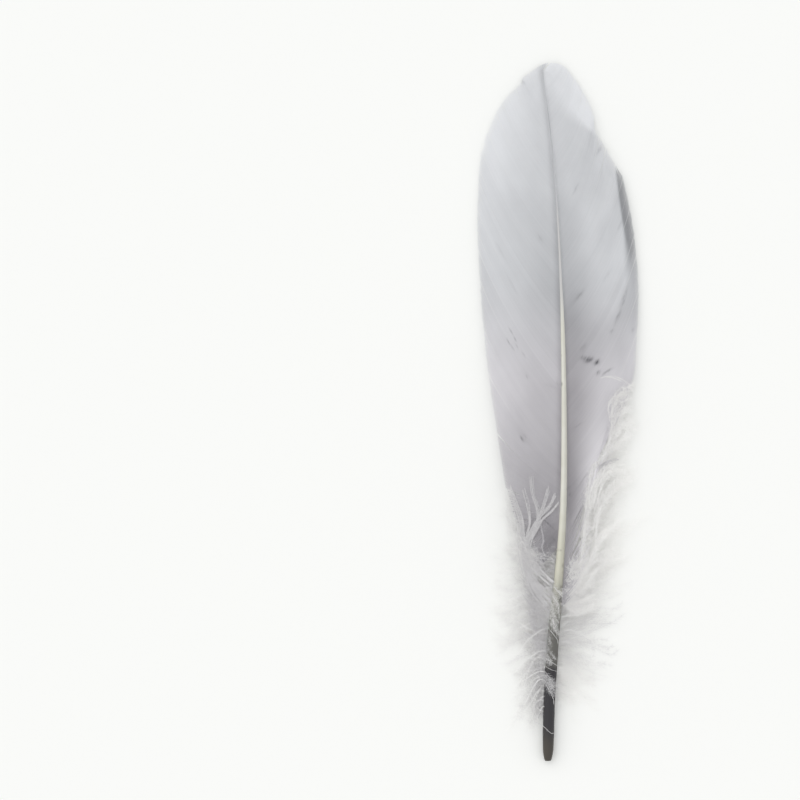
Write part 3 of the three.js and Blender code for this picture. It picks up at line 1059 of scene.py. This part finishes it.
def addStrands(fluff, plan):
    habit = strandHabit
    for line in plan["lines"]:
        for copy in range(plan["copies"]):
            shift = dice.normal(0, plan["spread"], 2)
            start = dice.uniform(0, habit["lateStart"]) * (copy > 0)
            stops = []
            for stop in line:
                x, y = np.array(stop) + shift + dice.normal(0, plan["spread"] * habit["stray"], 2)
                stops.append([x, y, faceHeight(x, y) + dice.uniform(*plan["lift"])])
            path = threadThrough(threadThrough(stops)[int(start * barbHabit["steps"]) :])
            path = overShaft(path, dice.uniform(*habit["aboveShaft"]))
            size = dice.uniform(*habit["sizes"])
            fluff.add(path, barbulePlans[plan["kind"]], plan["tones"], size)


tipHabit = {
    # millimetres above the face, from the shaft to the edge
    "clear": (0.5, 0.3),
    # a barb leaves the vane by this share of its way, and how near the highest root it leaves later
    "leaveBy": 0.96,
    "laterWithin": (13, 5),
    "aside": 0.5,
    "along": 1.5,
    "bow": 0.12,
    "endHeight": (0.3, 1.2),
    "sizes": (0.6, 1.2),
}


def addDownyTips(fluff, vane, down, plan):
    # barbs of a vane that loosen near its edge and go on as down
    habit = tipHabit
    tipX, tipY = smoothLine(down["tipX"]), smoothLine(down["tipY"])
    highest = plan["roots"][1]
    for n in range(plan["barbs"]):
        rootY = mix(*plan["roots"], (n + dice.uniform(0, 1)) / plan["barbs"])
        # the highest ones leave nearest to the edge
        leave = mix(*plan["leave"], fade(*habit["laterWithin"], highest - rootY))
        leave = dice.uniform(leave, habit["leaveBy"])
        stops = []
        for s in (leave, mix(leave, 1, 0.5), 1):
            x, y = barbPoint(vane, rootY, s)
            stops.append([x, y, faceHeight(x, y) + mix(*habit["clear"], s)])
        share = dice.uniform(*plan["lengths"])
        endX = mix(x, tipX(rootY), share) + dice.normal(0, habit["aside"])
        endY = mix(y, tipY(rootY), share) + dice.normal(0, habit["along"])
        bow = dice.normal(0, habit["bow"])
        middle = [mix(x, endX, 0.5) - bow * (endY - y), mix(y, endY, 0.5) + bow * (endX - x)]
        stops.append([*middle, mix(stops[-1][2], 1, 0.6)])
        stops.append([endX, endY, dice.uniform(*habit["endHeight"])])
        size = dice.uniform(*habit["sizes"])
        fluff.add(threadThrough(stops), barbulePlans["tip"], plan["tones"], size)


# what lies over the lower end of the left vane, line by line from the root up
leftStrandsPlan = {
    # a tuft that fans out from the quill
    "fan": {
        "kind": "band", "copies": 6, "spread": 0.24, "lift": [0.5, 0.8], "tones": [0.25, 0.35],
        "lines": [
            [
                [0.2, 36.0], [-4.2, 42.0], [-6.2, 48.4], [-6.8, 54.4], [-7.2, 58.4], [-8.6, 62.7],
                [-10.0, 66.2],
            ],
            [
                [0.3, 38.0], [-3.8, 43.4], [-5.8, 49.2], [-6.2, 54.4], [-6.6, 58.6], [-7.8, 62.6],
                [-9.4, 66.6],
            ],
            [
                [0.4, 39.0], [-4.2, 44.0], [-6.0, 49.8], [-5.6, 54.7], [-4.7, 58.0], [-5.2, 62.0],
                [-6.3, 66.0],
            ],
            [
                [0.8, 43.6], [-2.6, 46.6], [-4.9, 50.6], [-4.9, 53.7], [-3.0, 57.5], [-3.0, 61.3],
                [-4.1, 65.0], [-4.6, 69.2],
            ],
            [
                [0.6, 42.0], [-3.2, 45.6], [-5.3, 50.2], [-4.9, 53.8], [-2.6, 59.6], [-1.3, 62.8],
                [-0.4, 66.4],
            ],
            [
                [0.5, 40.6], [-3.8, 44.8], [-5.6, 49.8], [-5.1, 53.4], [-3.2, 56.4], [-1.8, 58.6],
                [0.6, 60.7], [2.2, 62.7],
            ],
            [
                [0.2, 37.0], [-4.0, 42.6], [-6.0, 48.8], [-5.6, 53.6], [-2.2, 59.4], [0, 61.9],
                [1.6, 64.8],
            ],
        ],
    },
    # loose fluff where the fan comes together
    "jumble": {
        "kind": "wisp", "copies": 5, "spread": 0.9, "lift": [0.5, 1.0], "tones": [0.25, 0.9],
        "lines": [
            [[-1.4, 46.4], [-3.6, 48.2], [-5.4, 51.0], [-7.4, 55.0]],
            [[-8.2, 49.2], [-6.8, 50.6], [-5.2, 51.4], [-3.6, 51.2]],
            [[-8.4, 53.4], [-6.6, 51.8], [-4.8, 49.6], [-3.0, 48.6]],
            [[-4.6, 44.0], [-5.2, 47.6], [-6.4, 51.0], [-8.8, 54.8]],
            [[-2.6, 44.6], [-4.4, 46.4], [-6.4, 48.8], [-8.2, 51.6]],
        ],
    },
    # single threads beside it
    "threads": {
        "kind": "thread", "copies": 2, "spread": 0.1, "lift": [0.6, 0.9], "tones": [0.0, 0.3],
        "lines": [
            [[-2.2, 57.4], [-1.5, 53.7], [-1.9, 52.2], [-1.2, 49.8]],
            [[-3.9, 48.5], [-2.4, 49.1], [-0.4, 49.0], [1.2, 48.2]],
            [[-4.4, 48.0], [-3.0, 47.6], [-2.9, 45.8], [-4.2, 44.9], [-5.6, 45.6]],
        ],
    },
}
# barbs of the vane that go on as down: how many, from which roots, and how far along they leave
leftTipsPlan = {
    "barbs": 60,
    "roots": [51.2, 61.0],
    "leave": [0.7, 0.9],
    "lengths": [0.1, 0.8],
    "tones": [0.1, 0.6],
}
strands = Fluff()
for plan in leftStrandsPlan.values():
    addStrands(strands, plan)
addDownyTips(strands, leftVanePlan, leftDownPlan, leftTipsPlan)
strands.build("strands_left", whiteDown)

# what lies over the quill
quillStrandsPlan = {
    # downy barbs that fall over the left side of the quill
    "over": {
        "kind": "wisp", "copies": 12, "spread": 0.7, "lift": [0.1, 0.5], "tones": [0.0, 0.35],
        "lines": [
            [[-6.5, 45.0], [-4.0, 42.6], [-2.2, 39.4], [-1.2, 35.6]],
            [[-6.0, 41.0], [-3.6, 38.6], [-2.0, 35.0], [-1.2, 31.0]],
            [[-5.6, 36.0], [-3.6, 34.0], [-2.0, 31.0], [-1.2, 27.6]],
            [[-5.0, 31.0], [-3.0, 29.0], [-1.4, 26.4], [0.4, 23.8]],
        ],
    },
    # thinner ones further down, with the dark quill between them
    "thin": {
        "kind": "wisp", "copies": 5, "spread": 0.4, "lift": [0.1, 0.4], "tones": [0.0, 0.3],
        "lines": [
            [[-3.4, 22.4], [-1.6, 20.8], [-0.2, 18.8], [0.8, 16.2]],
            [[-2.0, 22.4], [-0.4, 20.6], [0.9, 19.0], [1.6, 17.4]],
        ],
    },
    # a pale tuft where the down thins out
    "tuft": {
        "kind": "wisp", "copies": 4, "spread": 0.7, "lift": [0.1, 0.4], "tones": [0.35, 0.8],
        "lines": [
            [[-3.0, 43.2], [-1.0, 41.0], [0.6, 38.2], [2.0, 33.6]],
            [[-3.2, 39.8], [-1.2, 37.2], [0.4, 34.6], [2.0, 30.8]],
            [[-1.0, 43.8], [0.6, 41.6], [1.6, 39.2], [2.2, 36.6]],
        ],
    },
    # fine strands that cross the quill
    "veil": {
        "kind": "thread", "copies": 1, "spread": 0.15, "lift": [0.1, 0.3], "tones": [0.4, 0.8],
        "lines": [
            [[-7.4, 43.2], [-4.4, 42.2], [-0.7, 41.0], [1.7, 38.9], [2.4, 37.6]],
            [[1.0, 42.6], [3.3, 40.1], [5.5, 38.7], [8.0, 38.6]],
            [[-4.6, 42.4], [-2.8, 39.2], [-1.2, 33.9], [1.7, 30.2], [2.3, 28.8]],
            [[-8.0, 26.0], [-5.8, 25.5], [-2.8, 24.6], [-0.2, 22.6], [2.6, 21.8]],
            [[-3.6, 26.6], [-0.7, 25.0], [1.9, 23.3], [3.2, 22.0]],
            [[-3.8, 21.6], [-1.2, 19.2], [0.85, 15.4], [1.2, 13.8]],
            [[-2.4, 25.6], [-1.9, 22.6], [-1.6, 18.6], [-2.0, 15.0]],
            [[-3.6, 9.4], [-1.5, 8.5], [0.5, 6.8], [1.4, 6.5]],
        ],
    },
}
overQuill = Fluff()
for plan in quillStrandsPlan.values():
    addStrands(overQuill, plan)
overQuill.build("strands_quill", whiteDown, draped=True)

# fluff over the lower margin of the right vane
curlsPlan = {
    "curls": {
        "kind": "curl", "copies": 6, "spread": 0.75, "lift": [0.25, 0.75], "tones": [0.8, 1.0],
        "lines": [
            [[10.4, 60.0], [10.8, 64.5], [12.0, 68.4], [14.6, 70.6], [18.0, 71.4]],
            [[10.8, 55.0], [11.8, 61], [13.6, 65], [16.8, 67.8], [20.0, 68.8]],
            [[12.6, 74.4], [15.0, 75.8], [17.8, 77.0], [19.8, 79.0]],
            [[15.6, 79.0], [16.8, 83], [18.2, 85.4], [19.8, 85.4]],
            [[15.6, 82.4], [16.8, 86.2], [18.2, 88.4], [19.4, 88.6]],
            [[16.2, 86.0], [17.4, 88.8], [18.8, 90.0], [19.8, 90.2]],
            [[15.2, 76.8], [16.8, 79.8], [18.4, 81.4], [20.2, 81.4]],
            [[9.6, 46.0], [11.2, 51], [13.8, 55.4], [17.6, 58.4]],
            [[6.8, 40.5], [9.2, 44.4], [12.6, 48.4], [17.6, 50.4]],
        ],
    },
    # over the lower end of the vane, beside the shaft
    "low": {
        "kind": "wisp", "copies": 16, "spread": 0.8, "lift": [0.1, 0.4], "tones": [0.7, 1.0],
        "lines": [
            [[4.8, 49.0], [6.0, 48.0], [7.8, 48.2], [10.0, 50.0]],
            [[4.6, 47.0], [5.8, 46.0], [7.6, 46.2], [10.0, 48.0]],
            [[4.4, 45.0], [5.6, 44.0], [7.4, 44.4], [10.6, 46.4]],
            [[4.2, 42.6], [5.4, 41.6], [7.2, 41.8], [11.0, 43.6]],
            [[4.0, 40.4], [5.2, 39.2], [7.0, 39.0], [11.0, 40.4]],
            [[4.2, 38.4], [5.4, 37.0], [7.4, 36.8], [11.4, 38.0]],
        ],
    },
    # the soft fold at the top of the curls
    "fold": {
        "kind": "band", "copies": 5, "spread": 0.4, "lift": [0.15, 0.35], "tones": [0.6, 1.0],
        "lines": [
            [[12.6, 93.4], [14.6, 93.7], [16.8, 93.1], [19.0, 91.9], [20.4, 90.6]],
            [[16.6, 92.4], [16.3, 90.0], [15.7, 86.6], [15.3, 82.4], [14.8, 78.6]],
            [[19.6, 88.6], [18.0, 86.0], [16.6, 83.4], [15.6, 80.2], [14.4, 76.6]],
        ],
    },
    # the bright bend under the gap
    "bend": {
        "kind": "band", "copies": 7, "spread": 0.45, "lift": [0.35, 0.6], "tones": [0.95, 1.2],
        "lines": [
            [[10.6, 62.4], [11.0, 66.0], [12.3, 69.0], [14.2, 70.8], [16.4, 71.4]],
            [[10.4, 60.6], [11.0, 64.8], [12.2, 68.0], [13.8, 70.0]],
        ],
    },
    # dark threads that paint the shade of a gap in the curls
    "gap": {
        "kind": "thread", "copies": 6, "spread": 0.25, "lift": [0.7, 1.0], "tones": [-0.4, -0.2],
        "lines": [[[11.6, 71.2], [13.2, 72.4], [15.0, 73.0], [16.6, 73.2]]],
    },
}
rightTipsPlan = {
    "barbs": 110,
    "roots": [37.5, 64.5],
    "leave": [0.78, 0.92],
    "lengths": [0.15, 1.0],
    "tones": [0.8, 1.0],
}
curls = Fluff()
addStrands(curls, curlsPlan["curls"])
addDownyTips(curls, rightVanePlan, rightDownPlan, rightTipsPlan)
for key in ("low", "fold", "bend", "gap"):
    addStrands(curls, curlsPlan[key])
curls.build("curls_right", whiteDown)

stagePlan = {
    "floorSize": 12.0,
    "floorBelow": 0.0001,
    "floor": colour(247, 247, 244),
    "roughness": 0.9,
    "specular": 0.1,
    "world": colour(250, 251, 252),
    "worldStrength": 0.965,
    "key": 0.45,
    "keyTilt": (math.radians(-28), math.radians(-34), 0),
    "keyAngle": math.radians(60),
}


def buildStage():
    plan = stagePlan
    half = plan["floorSize"] / 2
    corners = [(-half, -half, 0), (half, -half, 0), (half, half, 0), (-half, half, 0)]
    mesh = bpy.data.meshes.new("floor")
    mesh.from_pydata(corners, [], [(0, 1, 2, 3)])
    material, tree = newMaterial("paleFloor")
    finishMaterial(tree, bodyWire(tree, plan, {"Base Color": plan["floor"]}))
    mesh.materials.append(material)
    floor = bpy.data.objects.new("floor", mesh)
    floor.location.z = -plan["floorBelow"]
    bpy.context.scene.collection.objects.link(floor)
    world = bpy.data.worlds.new("paleStudio")
    world.use_nodes = True
    back = world.node_tree.nodes["Background"]
    back.inputs["Color"].default_value = plan["world"]
    back.inputs["Strength"].default_value = plan["worldStrength"]
    bpy.context.scene.world = world
    key = bpy.data.lights.new("key", "SUN")
    key.energy = plan["key"]
    key.angle = plan["keyAngle"]
    lamp = bpy.data.objects.new("key", key)
    lamp.rotation_euler = plan["keyTilt"]
    bpy.context.scene.collection.objects.link(lamp)
    print("floor, pale world and key light")


buildStage()

# the picture is square and looks straight down, with the feather right of its middle
viewPlan = {
    "pixels": 800,
    "mmPerPixel": 0.2432,
    "middlePixel": (400, 400),
    "quillEndPixel": (549, 761),
    # millimetres above the surface: the camera, and the height that is seen at that scale
    "height": 1400.0,
    "aimHeight": 2.0,
    "sensor": 36.0,
    "clip": (0.01, 20),
}


def buildCamera():
    plan = viewPlan
    camera = bpy.data.objects.new("camera", bpy.data.cameras.new("camera"))
    across = (plan["middlePixel"][0] - plan["quillEndPixel"][0]) * plan["mmPerPixel"]
    up = (plan["quillEndPixel"][1] - plan["middlePixel"][1]) * plan["mmPerPixel"]
    camera.location = (quillEnd + [across, up, plan["height"]]) / 1000
    seen = plan["pixels"] * plan["mmPerPixel"]
    camera.data.sensor_width = plan["sensor"]
    camera.data.lens = plan["sensor"] * (plan["height"] - plan["aimHeight"]) / seen
    camera.data.clip_start, camera.data.clip_end = plan["clip"]
    bpy.context.scene.collection.objects.link(camera)
    bpy.context.scene.camera = camera
    bpy.context.scene.view_settings.view_transform = "Standard"
    print("camera", list(camera.location))


buildCamera()
bpy.context.view_layer.update()
